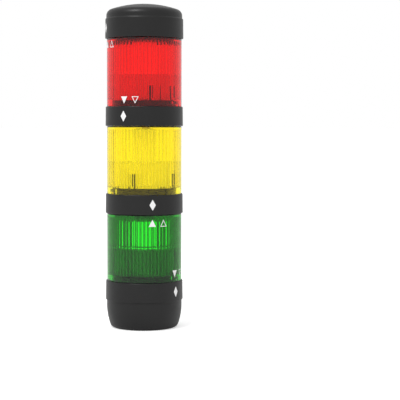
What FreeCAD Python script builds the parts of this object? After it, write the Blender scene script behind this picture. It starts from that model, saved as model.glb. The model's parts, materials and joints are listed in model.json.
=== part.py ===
"""Modular signal tower: a base, green, yellow and red light units, and a domed cap.

Every level is held by a bayonet. Its marks stand 45 degrees further round than those of the
level below. Millimetres, +Z up, origin at the centre of the base's underside, front at -Y.
"""
import FreeCAD, Part
import math
import os

from FreeCAD import Vector

# Outer form
LENS_DIAMETER = 50.4
LENS_LENGTH = 45.5
RING_PROUD = 0.95
RING_HEIGHT = 13.2
MOULDING_DRAFT = 0.15
EDGE_CHAMFER = 0.4
BASE_BODY_HEIGHT = 19.0
BASE_WALL = 4.05
BASE_SIDE_CURVE = 42.0
BASE_WIDEST_HEIGHT = 16.0
BASE_CORNER = 3.6
CAP_PROUD = 1.15
CAP_SKIRT_HEIGHT = 13.7
CAP_STEP = 0.8
CAP_STEP_CHAMFER = 0.6
CAP_CROWN_STRAIGHT = 1.7
CAP_CROWN_CORNER = 4.5
CAP_CROWN_HEIGHT = 9.6

# Marks: front angle of the base's mark, and the turn from one level to the next
BASE_MARK_ANGLE = 58.0
LEVEL_TURN = -45.0

# Clearances
RUN_CLEARANCE = 0.08
FACE_GAP = 0.1
FIT_CLEARANCE = 0.03
LUG_CLEARANCE = 0.15
LUG_ARC_CLEARANCE = 1.0
LOOSE_CLEARANCE = 0.3

# Bayonet
FOOT_WALL = 3.32
SPIGOT_HEIGHT = 4.0
SPIGOT_WALL = 1.8
NECK_HEIGHT = 5.4
NECK_WALL = 1.5
LUG_REACH = 1.2
LUG_RISE = 1.6
LUG_HEIGHT = 1.8
LUG_ARC = 10.0
KEY_LUG_ARC = 14.0
LUG_COUNT = 4
UNLOCK_TURN = 18.0
SOCKET_HEADROOM = 0.6

# Lens
RIB_COUNT = 60
RIB_DEPTH = 0.6
RIB_SHARE = 0.45
LENS_WALL = 1.4
LENS_FOOT_HEIGHT = 4.3
LENS_SHOULDER = 2.2
LENS_EDGE = 0.3

# Seals
SEAL_WIDTH = 1.0
SEAL_HEIGHT = 0.8
SEAL_LAND = 0.25

# Carrying floor, bosses and latch fingers of a module
FLOOR_THICKNESS = 2.0
BOSS_RADIUS = 2.5
BOSS_GAP = 0.6
BOSS_COUNT = 3
BOSS_TURN = 30.0
PILOT_RADIUS = 1.15
PILOT_DEPTH = 4.6
FINGER_HEIGHT = 9.7
FINGER_THICKNESS = 1.4
FINGER_INSET = 0.2
WIDE_FINGER_ARC = 3.6
SLIM_FINGER_ARC = 2.0
WIDE_FINGER_TURN = 46.0
SLIM_FINGER_TURN = 64.0
FINGER_COUNT = 4

# Light unit
BOARD_THICKNESS = 1.6
FLANGE_THICKNESS = 1.8
PEDESTAL_INSET = 2.5
PEDESTAL_TOP = 21.4
PEDESTAL_WALL = 1.6
FLUTE_RADIUS = 2.8
COLUMN_WIDTH = 9.4
COLUMN_WALL = 1.0
COLUMN_HEADROOM = 1.5
COLUMN_LID = 1.2
LED_BOARD_WIDTH = 7.4
LED_BOARD_THICKNESS = 1.0
LED_LEAST_PITCH = 3.3
LED_WIDTH = 2.4
LED_HEIGHT = 2.4
LED_THICKNESS = 0.7
DIFFUSER_DIAMETER = 15.6
DIFFUSER_WALL = 0.8
DIFFUSER_DROP = 4.2
DIFFUSER_RIM_DIAMETER = 17.2
DIFFUSER_RIM_HEIGHT = 1.2

# Contacts
CONTACT_COUNT = 5
CONTACT_TURN = 45.0
CONTACT_CIRCLE_RADIUS = 3.0
STRIP_WIDTH = 1.2
STRIP_THICKNESS = 0.5
PAD_RADIUS = 0.9
PAD_THICKNESS = 0.5
BARREL_RADIUS = 0.9
PLUNGER_RADIUS = 0.55
PLUNGER_GAP = 0.15
INSULATOR_DIAMETER = 13.0
INSULATOR_HEIGHT = 5.2
INSULATOR_NOTCH = 1.2

# Screws
CARRIER_SCREW_RADIUS = 1.1
CARRIER_SCREW_HEAD_RADIUS = 2.2
CARRIER_SCREW_HEAD_HEIGHT = 1.6
CARRIER_SCREW_REACH = 4.2
COLLAR_SCREW_RADIUS = 1.5
COLLAR_SCREW_HEAD_RADIUS = 2.7
COLLAR_SCREW_HEAD_HEIGHT = 2.4
COLLAR_SCREW_RECESS = 3.2
COLLAR_SCREW_ROOM = 1.2
COLLAR_SCREW_COUNT = 3
COLLAR_BOSS_RADIUS = 3.2
COLLAR_BOSS_GAP = 1.8
CARRIER_HEX_RECESS = 0.9
COLLAR_HEX_RECESS = 1.35
RECESS_DEPTH = 0.9

# Base
BASE_FLOOR = 3.0
CHAMBER_INSET = 0.48
CHAMBER_CORNER = 3.0
LIP_WALL = 1.5
LIP_HEIGHT = 2.6
MOUNT_HOLE_RADIUS = 2.15
MOUNT_CIRCLE_RADIUS = 15.0
MOUNT_HOLE_COUNT = 3
CABLE_HOLE_RADIUS = 6.5
GROMMET_BORE_RADIUS = 4.0
GROMMET_FLANGE_RADIUS = 8.0
GROMMET_FLANGE_HEIGHT = 1.4
GROMMET_RECESS = 0.3
GASKET_INNER_RADIUS = 9.4
GASKET_WIDTH = 2.0
GASKET_HEIGHT = 1.0
TERMINAL_LENGTH = 22.0
TERMINAL_DEPTH = 11.0
TERMINAL_HEIGHT = 9.0
TERMINAL_COUNT = 4
TERMINAL_PITCH = 5.0
WIRE_HOLE = 3.4
WIRE_HOLE_DEPTH = 8.0
WIRE_HOLE_RISE = 3.5
CLAMP_WALL = 0.5
CLAMP_LENGTH = 5.0
TERMINAL_SCREW_RADIUS = 1.1
TERMINAL_SCREW_HEAD_RADIUS = 1.7
TERMINAL_SCREW_HEAD_HEIGHT = 1.2
BASE_PIN_DEPTH = 2.0

# Cap
CAP_WALL = 2.6
CAP_STOP_WIDTH = 1.1
CAP_RIB_COUNT = 8
CAP_RIB_WIDTH = 1.2
CAP_RIB_REACH = 2.2
CAP_RIB_HEIGHT = 6.0

# Radii that follow
LENS_RADIUS = LENS_DIAMETER / 2
SOCKET_RADIUS = LENS_RADIUS - FOOT_WALL
SPIGOT_RADIUS = SOCKET_RADIUS - RUN_CLEARANCE
CAVITY_RADIUS = SPIGOT_RADIUS - SPIGOT_WALL
NECK_BORE_RADIUS = SPIGOT_RADIUS - NECK_WALL
LUG_RADIUS = SPIGOT_RADIUS + LUG_REACH
TRACK_RADIUS = LUG_RADIUS + LUG_CLEARANCE
SEAL_RADIUS = TRACK_RADIUS + SEAL_LAND
RIB_VALLEY_RADIUS = LENS_RADIUS - LENS_WALL
RIB_TIP_RADIUS = RIB_VALLEY_RADIUS - RIB_DEPTH
SOCKET_DEPTH = NECK_HEIGHT + SOCKET_HEADROOM
FLOOR_TOP = SOCKET_DEPTH + FLOOR_THICKNESS
BOSS_CIRCLE_RADIUS = CAVITY_RADIUS - BOSS_RADIUS - BOSS_GAP
PEDESTAL_RADIUS = CAVITY_RADIUS - PEDESTAL_INSET
DIFFUSER_RADIUS = DIFFUSER_DIAMETER / 2
RING_RADIUS = LENS_RADIUS + RING_PROUD
CHAMBER_RADIUS = SOCKET_RADIUS - CHAMBER_INSET
COLLAR_SCREW_CIRCLE_RADIUS = CHAMBER_RADIUS - COLLAR_BOSS_RADIUS - COLLAR_BOSS_GAP
BASE_RADIUS = CHAMBER_RADIUS + BASE_WALL
CAP_RADIUS = LENS_RADIUS + CAP_PROUD
CAP_CROWN_RADIUS = CAP_RADIUS - CAP_STEP

# Heights that follow: the plane on which each lens or ring stands
COLLAR_PLANE = BASE_BODY_HEIGHT
GREEN_PLANE = COLLAR_PLANE + RING_HEIGHT
YELLOW_RING_PLANE = GREEN_PLANE + LENS_LENGTH
YELLOW_PLANE = YELLOW_RING_PLANE + RING_HEIGHT
RED_RING_PLANE = YELLOW_PLANE + LENS_LENGTH
RED_PLANE = RED_RING_PLANE + RING_HEIGHT
CAP_PLANE = RED_PLANE + LENS_LENGTH

# Heights that follow inside a light unit, above the plane of its lens
COLUMN_TOP = LENS_LENGTH - COLUMN_HEADROOM
DIFFUSER_TOP = COLUMN_TOP - DIFFUSER_DROP
LED_BOARD_LOW = PEDESTAL_TOP + DIFFUSER_RIM_HEIGHT
LED_BOARD_LENGTH = DIFFUSER_TOP - LED_BOARD_LOW
LED_ROWS = int(LED_BOARD_LENGTH / LED_LEAST_PITCH)

# The collar's screws end below the first control board
COLLAR_SCREW_BITE = RING_HEIGHT - FLOOR_TOP - COLLAR_SCREW_ROOM

YELLOW_MARK_ANGLE = BASE_MARK_ANGLE + LEVEL_TURN
RED_MARK_ANGLE = YELLOW_MARK_ANGLE + LEVEL_TURN
CAP_MARK_ANGLE = RED_MARK_ANGLE + LEVEL_TURN

AXIS = Vector(0, 0, 1)
CENTRE = Vector(0, 0, 0)
OVERCUT = 1.0


def turned(shape, angle):
    """A copy of the shape, turned about the tower's axis."""
    copy = shape.copy()
    copy.rotate(CENTRE, AXIS, angle)
    return copy


def raised(shape, height):
    """A copy of the shape, moved up."""
    copy = shape.copy()
    copy.translate(Vector(0, 0, height))
    return copy


def placed(shape, plane, mark_angle=0.0):
    """A shape built at the origin with its mark in front, brought to its level."""
    return raised(turned(shape, mark_angle), plane)


def disc(radius, low, high, x=0.0, y=0.0):
    return Part.makeCylinder(radius, high - low, Vector(x, y, low))


def tube(outer, inner, low, high):
    return disc(outer, low, high).cut(disc(inner, low, high))


def block(width, depth, low, high, x=0.0, y=0.0):
    """A box centred on x and y."""
    corner = Vector(x - width / 2, y - depth / 2, low)
    return Part.makeBox(width, depth, high - low, corner)


def line(start, end):
    return Part.makeLine(Vector(start[0], 0, start[1]), Vector(end[0], 0, end[1]))


def arc(start, middle, end):
    points = [Vector(radius, 0, height) for radius, height in (start, middle, end)]
    return Part.Arc(*points).toShape()


def dome(radius, low, apex):
    """Arc from a rim up to the axis, on a circle centred on the axis."""
    rise = apex - low
    sphere = (radius ** 2 + rise ** 2) / (2 * rise)
    middle = radius / 2
    middle_height = apex - sphere + math.sqrt(sphere ** 2 - middle ** 2)
    return arc((radius, low), (middle, middle_height), (0, apex))


def cornered_dome(radius, low, apex, corner):
    """A corner arc that starts upright on a wall and runs smoothly into a dome."""
    reach = radius - corner
    rise = apex - low
    sphere = (reach ** 2 + rise ** 2 - corner ** 2) / (2 * (rise - corner))
    turn = math.atan2(sphere - rise, reach)

    def on_corner(angle):
        return (reach + corner * math.cos(angle), low + corner * math.sin(angle))

    joint = on_corner(turn)
    return [arc((radius, low), on_corner(turn / 2), joint), dome(joint[0], joint[1], apex)]


def turned_solid(edges):
    """A full turn of a closed outline of edges, given as radius and height."""
    return Part.Face(Part.Wire(edges)).revolve(CENTRE, AXIS, 360)


def turned_outline(points):
    """A full turn of a closed outline of straight runs."""
    closed = points + [points[0]]
    edges = [line(closed[i], closed[i + 1]) for i in range(len(points))]
    return turned_solid(edges)


def sector(inner, outer, low, high, angle, arc_width):
    """A piece of a ring, centred on a front angle."""
    corners = [(inner, low), (outer, low), (outer, high), (inner, high)]
    points = [Vector(radius, 0, height) for radius, height in corners + corners[:1]]
    piece = Part.Face(Part.makePolygon(points)).revolve(CENTRE, AXIS, arc_width)
    return turned(piece, angle - 90 - arc_width / 2)


def around(shape, count, first=0.0):
    """Copies of a shape at equal turns."""
    return [turned(shape, first + 360 / count * i) for i in range(count)]


def front_disc(radius, low, high, circle):
    """A cylinder that stands in front of the axis."""
    return disc(radius, low, high, 0, -circle)


def group(shapes):
    return Part.makeCompound(shapes)


def lug_arcs():
    """Front angle and width of each lug: the wide one keys the mark."""
    arcs = [(0.0, KEY_LUG_ARC)]
    for i in range(1, LUG_COUNT):
        arcs.append((360 / LUG_COUNT * i, LUG_ARC))
    return arcs


def lugs():
    """The lugs round a spigot or a neck that stands on the plane at zero."""
    root = SPIGOT_RADIUS - SPIGOT_WALL / 2
    top = LUG_RISE + LUG_HEIGHT
    return [sector(root, LUG_RADIUS, LUG_RISE, top, angle, width) for angle, width in lug_arcs()]


def lug_tracks(entry_turn):
    """Grooves that let the lugs in at the entry turn and lead them to the locked place."""
    inner = SOCKET_RADIUS - OVERCUT
    low = LUG_RISE - LUG_CLEARANCE
    high = LUG_RISE + LUG_HEIGHT + LUG_CLEARANCE
    grooves = []
    for angle, width in lug_arcs():
        entry_width = width + 2 * LUG_ARC_CLEARANCE
        run_width = entry_width + abs(entry_turn)
        entry_angle = angle + entry_turn
        grooves.append(sector(inner, TRACK_RADIUS, -OVERCUT, high, entry_angle, entry_width))
        grooves.append(sector(inner, TRACK_RADIUS, low, high, angle + entry_turn / 2, run_width))
    return grooves


def seal_groove(plane):
    depth = SEAL_HEIGHT + FIT_CLEARANCE
    outer = SEAL_RADIUS + SEAL_WIDTH + FIT_CLEARANCE
    return tube(outer, SEAL_RADIUS - FIT_CLEARANCE, plane - depth, plane + OVERCUT)


def seal(plane):
    """Flat rubber ring with rounded top edges, in the groove below a plane."""
    ring = tube(SEAL_RADIUS + SEAL_WIDTH, SEAL_RADIUS, plane - SEAL_HEIGHT, plane)
    return ring


def ribbed_space(low, high):
    """The room inside a lens: a round bore, less the rounded ribs that run down its wall."""
    pitch = 2 * math.pi / RIB_COUNT
    half_rib = pitch * RIB_SHARE / 2

    def at(radius, turn):
        return Vector(radius * math.cos(turn), radius * math.sin(turn), low)

    edges = []
    for i in range(RIB_COUNT):
        middle = pitch * i
        start = at(RIB_VALLEY_RADIUS, middle - half_rib)
        end = at(RIB_VALLEY_RADIUS, middle + half_rib)
        following = at(RIB_VALLEY_RADIUS, middle + pitch - half_rib)
        edges.append(Part.Arc(start, at(RIB_TIP_RADIUS, middle), end).toShape())
        edges.append(Part.Arc(end, at(RIB_VALLEY_RADIUS, middle + pitch / 2), following).toShape())
    return Part.Face(Part.Wire(edges)).extrude(Vector(0, 0, high - low))


def lens(foot_angle, neck_angle):
    """A ribbed lens that stands on the plane at zero, with a foot socket and a lugged neck."""
    neck_top = LENS_LENGTH + NECK_HEIGHT
    rib_top = LENS_LENGTH - LENS_SHOULDER
    body = turned_outline([
        (0, FACE_GAP),
        (LENS_RADIUS - LENS_EDGE, FACE_GAP),
        (LENS_RADIUS, FACE_GAP + LENS_EDGE),
        (LENS_RADIUS, LENS_LENGTH - LENS_EDGE),
        (LENS_RADIUS - LENS_EDGE, LENS_LENGTH),
        (SPIGOT_RADIUS, LENS_LENGTH),
        (SPIGOT_RADIUS, neck_top - EDGE_CHAMFER),
        (SPIGOT_RADIUS - EDGE_CHAMFER, neck_top),
        (0, neck_top),
    ])
    for lug in lugs():
        body = body.fuse(placed(lug, LENS_LENGTH, neck_angle))
    body = body.cut(disc(SOCKET_RADIUS, -OVERCUT, LENS_FOOT_HEIGHT))
    body = body.cut(ribbed_space(LENS_FOOT_HEIGHT, rib_top))
    body = body.cut(disc(NECK_BORE_RADIUS, rib_top, neck_top + OVERCUT))
    body = body.cut([turned(groove, foot_angle) for groove in lug_tracks(UNLOCK_TURN)])
    return body.cut(seal_groove(LENS_LENGTH)).removeSplitter()


def contact_places(turn):
    """Front angles and radii of the contacts: one in the centre, the rest on an arc."""
    places = [(0.0, 0.0)]
    for i in range(CONTACT_COUNT):
        places.append((CONTACT_CIRCLE_RADIUS, turn + CONTACT_TURN * i))
    return places


def contact_set(shape_at_circle, turn):
    """One contact piece for each place, from a function that builds it in front."""
    return [turned(shape_at_circle(circle), angle) for circle, angle in contact_places(turn)]


def module_seat(plane):
    """What a module adds above its outer ring: spigot with lugs, latch fingers and bosses."""
    pieces = [raised(lug, plane) for lug in lugs()]
    finger_outer = SPIGOT_RADIUS - FINGER_INSET
    finger_inner = finger_outer - FINGER_THICKNESS
    low = plane + SPIGOT_HEIGHT - EDGE_CHAMFER
    high = plane + SPIGOT_HEIGHT + FINGER_HEIGHT
    for turn, width in ((WIDE_FINGER_TURN, WIDE_FINGER_ARC), (SLIM_FINGER_TURN, SLIM_FINGER_ARC)):
        finger = sector(finger_inner, finger_outer, low, high, turn, width)
        pieces += around(finger, FINGER_COUNT)
    floor_top = plane - RING_HEIGHT + FLOOR_TOP
    boss = front_disc(BOSS_RADIUS, floor_top - FLOOR_THICKNESS / 2, plane, BOSS_CIRCLE_RADIUS)
    pieces += around(boss, BOSS_COUNT, BOSS_TURN)
    return pieces


def module_holes(plane, contact_radius, contact_turn):
    """Screw pilots in the bosses, and the contact holes in the floor."""
    pilot = front_disc(PILOT_RADIUS, plane - PILOT_DEPTH, plane + OVERCUT, BOSS_CIRCLE_RADIUS)
    floor_low = plane - RING_HEIGHT + SOCKET_DEPTH - OVERCUT
    floor_high = plane - RING_HEIGHT + FLOOR_TOP + OVERCUT

    def hole(circle):
        return front_disc(contact_radius + FIT_CLEARANCE, floor_low, floor_high, circle)

    return around(pilot, BOSS_COUNT, BOSS_TURN) + contact_set(hole, contact_turn)


def ring_outline(low, bore_radius):
    """Section of a collar or ring of full height, from its plane at zero."""
    top_radius = RING_RADIUS - MOULDING_DRAFT
    spigot_top = RING_HEIGHT + SPIGOT_HEIGHT
    return [
        (bore_radius, low),
        (RING_RADIUS - EDGE_CHAMFER, low),
        (RING_RADIUS, low + EDGE_CHAMFER),
        (top_radius, RING_HEIGHT - EDGE_CHAMFER),
        (top_radius - EDGE_CHAMFER, RING_HEIGHT),
        (SPIGOT_RADIUS, RING_HEIGHT),
        (SPIGOT_RADIUS, spigot_top - EDGE_CHAMFER),
        (SPIGOT_RADIUS - EDGE_CHAMFER, spigot_top),
        (CAVITY_RADIUS, spigot_top),
        (CAVITY_RADIUS, FLOOR_TOP),
        (0, FLOOR_TOP),
        (0, SOCKET_DEPTH),
        (bore_radius, SOCKET_DEPTH),
    ]


def module_ring():
    """The black ring between two lenses, with its mark in front."""
    body = turned_outline(ring_outline(FACE_GAP, SOCKET_RADIUS))
    body = body.fuse(module_seat(RING_HEIGHT))
    body = body.cut(module_holes(RING_HEIGHT, BARREL_RADIUS, -LEVEL_TURN))
    body = body.cut(lug_tracks(-UNLOCK_TURN))
    return body.cut(seal_groove(RING_HEIGHT)).removeSplitter()


def base_collar():
    """The fixed collar on the base, at the origin and with its mark in front."""
    bore = CHAMBER_RADIUS + LIP_WALL + RUN_CLEARANCE
    body = turned_outline(ring_outline(0, bore))
    body = body.fuse(module_seat(RING_HEIGHT))
    body = body.fuse([turned(boss, -BASE_MARK_ANGLE) for boss in collar_bosses()])
    body = body.cut(module_holes(RING_HEIGHT, PLUNGER_RADIUS, 0.0))
    body = body.cut([turned(pilot, -BASE_MARK_ANGLE) for pilot in collar_pilots()])
    return body.cut(seal_groove(RING_HEIGHT)).removeSplitter()


def collar_bosses():
    boss = front_disc(COLLAR_BOSS_RADIUS, FLOOR_TOP - FLOOR_THICKNESS / 2, RING_HEIGHT,
                      COLLAR_SCREW_CIRCLE_RADIUS)
    return around(boss, COLLAR_SCREW_COUNT, 180 / COLLAR_SCREW_COUNT)


def collar_pilots():
    top = SOCKET_DEPTH + FLOOR_THICKNESS + COLLAR_SCREW_BITE - FIT_CLEARANCE
    pilot = front_disc(COLLAR_SCREW_RADIUS + FIT_CLEARANCE, SOCKET_DEPTH - OVERCUT, top,
                       COLLAR_SCREW_CIRCLE_RADIUS)
    return around(pilot, COLLAR_SCREW_COUNT, 180 / COLLAR_SCREW_COUNT)


def base_outside():
    """The housing's outside: the flat foot, a corner arc, and one long arc up to the collar."""
    centre = BASE_RADIUS - BASE_SIDE_CURVE
    drop = BASE_WIDEST_HEIGHT - BASE_CORNER
    reach = math.sqrt((BASE_SIDE_CURVE - BASE_CORNER) ** 2 - drop ** 2)
    foot = centre + reach
    turn = math.atan2(drop, reach)

    def on_corner(angle):
        return (foot + BASE_CORNER * math.cos(angle), BASE_CORNER * (1 - math.sin(angle)))

    def on_side(height):
        return (centre + math.sqrt(BASE_SIDE_CURVE ** 2 - (height - BASE_WIDEST_HEIGHT) ** 2), height)

    joint = on_corner(turn)
    middle = on_side((joint[1] + BASE_BODY_HEIGHT) / 2)
    top = on_side(BASE_BODY_HEIGHT)
    return top, [
        line((0, 0), (foot, 0)),
        arc((foot, 0), on_corner((turn + math.pi / 2) / 2), joint),
        arc(joint, middle, top),
    ]


def base_housing():
    """The foot: a turned shell with a rounded lower edge, bosses, holes and a register lip."""
    lip_outer = CHAMBER_RADIUS + LIP_WALL
    lip_top = BASE_BODY_HEIGHT + LIP_HEIGHT
    top, outside = base_outside()
    body = turned_solid(outside + [
        line(top, (lip_outer, BASE_BODY_HEIGHT)),
        line((lip_outer, BASE_BODY_HEIGHT), (lip_outer, lip_top)),
        line((lip_outer, lip_top), (0, lip_top)),
        line((0, lip_top), (0, 0)),
    ])
    body = body.cut(turned_outline([
        (0, BASE_FLOOR),
        (CHAMBER_RADIUS - CHAMBER_CORNER, BASE_FLOOR),
        (CHAMBER_RADIUS, BASE_FLOOR + CHAMBER_CORNER),
        (CHAMBER_RADIUS, lip_top + OVERCUT),
        (0, lip_top + OVERCUT),
    ]))
    boss_top = BASE_BODY_HEIGHT + SOCKET_DEPTH
    boss = front_disc(COLLAR_BOSS_RADIUS, BASE_FLOOR / 2, boss_top, COLLAR_SCREW_CIRCLE_RADIUS)
    recess = front_disc(COLLAR_SCREW_HEAD_RADIUS + LUG_CLEARANCE, -OVERCUT, COLLAR_SCREW_RECESS,
                        COLLAR_SCREW_CIRCLE_RADIUS)
    shaft = front_disc(COLLAR_SCREW_RADIUS + LUG_CLEARANCE, 0, boss_top + OVERCUT,
                       COLLAR_SCREW_CIRCLE_RADIUS)
    first = 180 / COLLAR_SCREW_COUNT
    mount_hole = front_disc(MOUNT_HOLE_RADIUS, -OVERCUT, BASE_FLOOR + OVERCUT, MOUNT_CIRCLE_RADIUS)
    gasket_outer = GASKET_INNER_RADIUS + GASKET_WIDTH + FIT_CLEARANCE
    groove = tube(gasket_outer, GASKET_INNER_RADIUS - FIT_CLEARANCE, -OVERCUT,
                  GASKET_HEIGHT + FIT_CLEARANCE)
    body = body.fuse(around(boss, COLLAR_SCREW_COUNT, first))
    cuts = around(recess, COLLAR_SCREW_COUNT, first) + around(shaft, COLLAR_SCREW_COUNT, first)
    cuts += around(mount_hole, MOUNT_HOLE_COUNT)
    cuts += [disc(CABLE_HOLE_RADIUS, -OVERCUT, BASE_FLOOR + OVERCUT), groove]
    return body.cut(cuts).removeSplitter()


def base_gasket():
    """Flat ring in the groove round the cable hole."""
    outer = GASKET_INNER_RADIUS + GASKET_WIDTH
    return tube(outer, GASKET_INNER_RADIUS, 0, GASKET_HEIGHT)


def cable_grommet():
    """Rubber bush in the cable hole, with a flange that lies on the floor inside."""
    body = turned_outline([
        (GROMMET_BORE_RADIUS, GROMMET_RECESS),
        (CABLE_HOLE_RADIUS - FIT_CLEARANCE, GROMMET_RECESS),
        (CABLE_HOLE_RADIUS - FIT_CLEARANCE, BASE_FLOOR),
        (GROMMET_FLANGE_RADIUS, BASE_FLOOR),
        (GROMMET_FLANGE_RADIUS, BASE_FLOOR + GROMMET_FLANGE_HEIGHT),
        (GROMMET_BORE_RADIUS, BASE_FLOOR + GROMMET_FLANGE_HEIGHT),
    ])
    return body


def hex_recess(width, low, high):
    """A six-sided key hole centred on the axis."""
    points = []
    for i in range(7):
        turn = math.pi / 3 * i
        points.append(Vector(width * math.cos(turn), width * math.sin(turn), low))
    return Part.Face(Part.makePolygon(points)).extrude(Vector(0, 0, high - low))


def collar_screws():
    """Screws that come up through the housing and bite in the collar."""
    head_high = COLLAR_SCREW_RECESS
    head_low = head_high - COLLAR_SCREW_HEAD_HEIGHT
    tip = BASE_BODY_HEIGHT + SOCKET_DEPTH + FLOOR_THICKNESS + COLLAR_SCREW_BITE - LOOSE_CLEARANCE
    screw = disc(COLLAR_SCREW_HEAD_RADIUS, head_low, head_high)
    screw = screw.fuse(disc(COLLAR_SCREW_RADIUS, head_low, tip))
    screw = screw.cut(hex_recess(COLLAR_HEX_RECESS, head_low - OVERCUT, head_low + RECESS_DEPTH))
    screw.translate(Vector(0, -COLLAR_SCREW_CIRCLE_RADIUS, 0))
    return group(around(screw, COLLAR_SCREW_COUNT, 180 / COLLAR_SCREW_COUNT))


def terminal_places():
    first = -TERMINAL_PITCH * (TERMINAL_COUNT - 1) / 2
    return [first + TERMINAL_PITCH * i for i in range(TERMINAL_COUNT)]


TERMINAL_TOP = BASE_BODY_HEIGHT + SOCKET_DEPTH
TERMINAL_LOW = TERMINAL_TOP - TERMINAL_HEIGHT
WIRE_LOW = TERMINAL_LOW + WIRE_HOLE_RISE


def terminal_block():
    """Moulded block under the collar's floor: wire holes in front, screws from below."""
    body = block(TERMINAL_LENGTH, TERMINAL_DEPTH, TERMINAL_LOW, TERMINAL_TOP)
    for x in terminal_places():
        y = (WIRE_HOLE_DEPTH - TERMINAL_DEPTH - OVERCUT) / 2
        body = body.cut(block(WIRE_HOLE, WIRE_HOLE_DEPTH + OVERCUT, WIRE_LOW,
                              WIRE_LOW + WIRE_HOLE, x, y))
        body = body.cut(disc(TERMINAL_SCREW_HEAD_RADIUS + LUG_CLEARANCE,
                             TERMINAL_LOW - OVERCUT, WIRE_LOW + OVERCUT, x, 0))

    def pin_hole(circle):
        return front_disc(PLUNGER_RADIUS + FIT_CLEARANCE, TERMINAL_TOP - BASE_PIN_DEPTH,
                          TERMINAL_TOP + OVERCUT, circle)

    return body.cut([turned(hole, BASE_MARK_ANGLE) for hole in contact_set(pin_hole, 0.0)])


def terminal_clamps():
    """Square metal cages in the wire holes."""
    outer = WIRE_HOLE - 2 * FIT_CLEARANCE
    inner = outer - 2 * CLAMP_WALL
    low = WIRE_LOW + FIT_CLEARANCE
    cages = []
    for x in terminal_places():
        cage = block(outer, CLAMP_LENGTH, low, low + outer, x, 0)
        hollow = block(inner, CLAMP_LENGTH + OVERCUT, low + CLAMP_WALL, low + CLAMP_WALL + inner, x, 0)
        cages.append(cage.cut(hollow))
    return group(cages)


def terminal_screws():
    """Slotted screws that press from below on the cages."""
    head_high = TERMINAL_LOW + TERMINAL_SCREW_HEAD_HEIGHT + LOOSE_CLEARANCE
    head_low = TERMINAL_LOW + LOOSE_CLEARANCE
    screws = []
    for x in terminal_places():
        screw = disc(TERMINAL_SCREW_HEAD_RADIUS, head_low, head_high, x, 0)
        screw = screw.fuse(disc(TERMINAL_SCREW_RADIUS, head_low, WIRE_LOW, x, 0))
        slot = block(2 * TERMINAL_SCREW_HEAD_RADIUS + OVERCUT, CLAMP_WALL,
                     head_low - OVERCUT, head_low + CLAMP_WALL, x, 0)
        screws.append(screw.cut(slot))
    return group(screws)


def base_contact_pins():
    """Pins from the terminal block up to the first control board."""
    def pin(circle):
        return front_disc(PLUNGER_RADIUS, TERMINAL_TOP - BASE_PIN_DEPTH, GREEN_PLANE, circle)

    return group([turned(piece, BASE_MARK_ANGLE) for piece in contact_set(pin, 0.0)])


def control_board():
    """Round board on the bosses, at the plane of its lens."""
    body = disc(CAVITY_RADIUS - LOOSE_CLEARANCE, 0, BOARD_THICKNESS)
    hole = front_disc(CARRIER_SCREW_RADIUS + LUG_CLEARANCE, -OVERCUT, BOARD_THICKNESS + OVERCUT,
                      BOSS_CIRCLE_RADIUS)
    return body.cut(around(hole, BOSS_COUNT, BOSS_TURN))


def led_carrier():
    """White moulding: a flange on the board, a hollow fluted pedestal and a square column."""
    low = BOARD_THICKNESS
    lid_low = PEDESTAL_TOP - PEDESTAL_WALL
    column_inner = COLUMN_WIDTH - 2 * COLUMN_WALL
    body = disc(CAVITY_RADIUS - LOOSE_CLEARANCE, low, low + FLANGE_THICKNESS)
    flute = front_disc(FLUTE_RADIUS, low + FLANGE_THICKNESS, PEDESTAL_TOP + OVERCUT, BOSS_CIRCLE_RADIUS)
    pedestal = disc(PEDESTAL_RADIUS, low, PEDESTAL_TOP).cut(around(flute, BOSS_COUNT, BOSS_TURN))
    body = body.fuse(pedestal)
    body = body.fuse(block(COLUMN_WIDTH, COLUMN_WIDTH, lid_low, COLUMN_TOP))
    flute_wall = front_disc(FLUTE_RADIUS + PEDESTAL_WALL, low - OVERCUT, PEDESTAL_TOP,
                            BOSS_CIRCLE_RADIUS)
    hollow = disc(PEDESTAL_RADIUS - PEDESTAL_WALL, low - OVERCUT, lid_low)
    hollow = hollow.cut(around(flute_wall, BOSS_COUNT, BOSS_TURN))
    body = body.cut(hollow)
    body = body.cut(block(column_inner, column_inner, low, COLUMN_TOP - COLUMN_LID))
    screw_hole = front_disc(CARRIER_SCREW_RADIUS + LUG_CLEARANCE, low - OVERCUT,
                            low + FLANGE_THICKNESS + OVERCUT, BOSS_CIRCLE_RADIUS)
    body = body.cut(around(screw_hole, BOSS_COUNT, BOSS_TURN))

    def strip_slot(circle):
        return block(STRIP_WIDTH + 2 * FIT_CLEARANCE, STRIP_THICKNESS + 2 * FIT_CLEARANCE,
                     COLUMN_TOP - COLUMN_LID - OVERCUT, COLUMN_TOP + OVERCUT, 0, -circle)

    return body.cut(contact_set(strip_slot, 0.0)).removeSplitter()


def conductor_strips():
    """Flat strips from the control board up through the column, each with a round pad."""
    def strip(circle):
        bar = block(STRIP_WIDTH, STRIP_THICKNESS, BOARD_THICKNESS, COLUMN_TOP, 0, -circle)
        pad = front_disc(PAD_RADIUS, COLUMN_TOP, COLUMN_TOP + PAD_THICKNESS, circle)
        return bar.fuse(pad)

    return group(contact_set(strip, 0.0))


def carrier_screws():
    """Round-headed screws through the flange and the board into the bosses."""
    seat = BOARD_THICKNESS + FLANGE_THICKNESS
    screw = disc(CARRIER_SCREW_HEAD_RADIUS, seat, seat + CARRIER_SCREW_HEAD_HEIGHT)
    screw = screw.fuse(disc(CARRIER_SCREW_RADIUS, -CARRIER_SCREW_REACH, seat + OVERCUT))
    screw = screw.cut(hex_recess(CARRIER_HEX_RECESS, seat + CARRIER_SCREW_HEAD_HEIGHT - RECESS_DEPTH,
                                 seat + CARRIER_SCREW_HEAD_HEIGHT + OVERCUT))
    screw.translate(Vector(0, -BOSS_CIRCLE_RADIUS, 0))
    return group(around(screw, BOSS_COUNT, BOSS_TURN))


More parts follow.
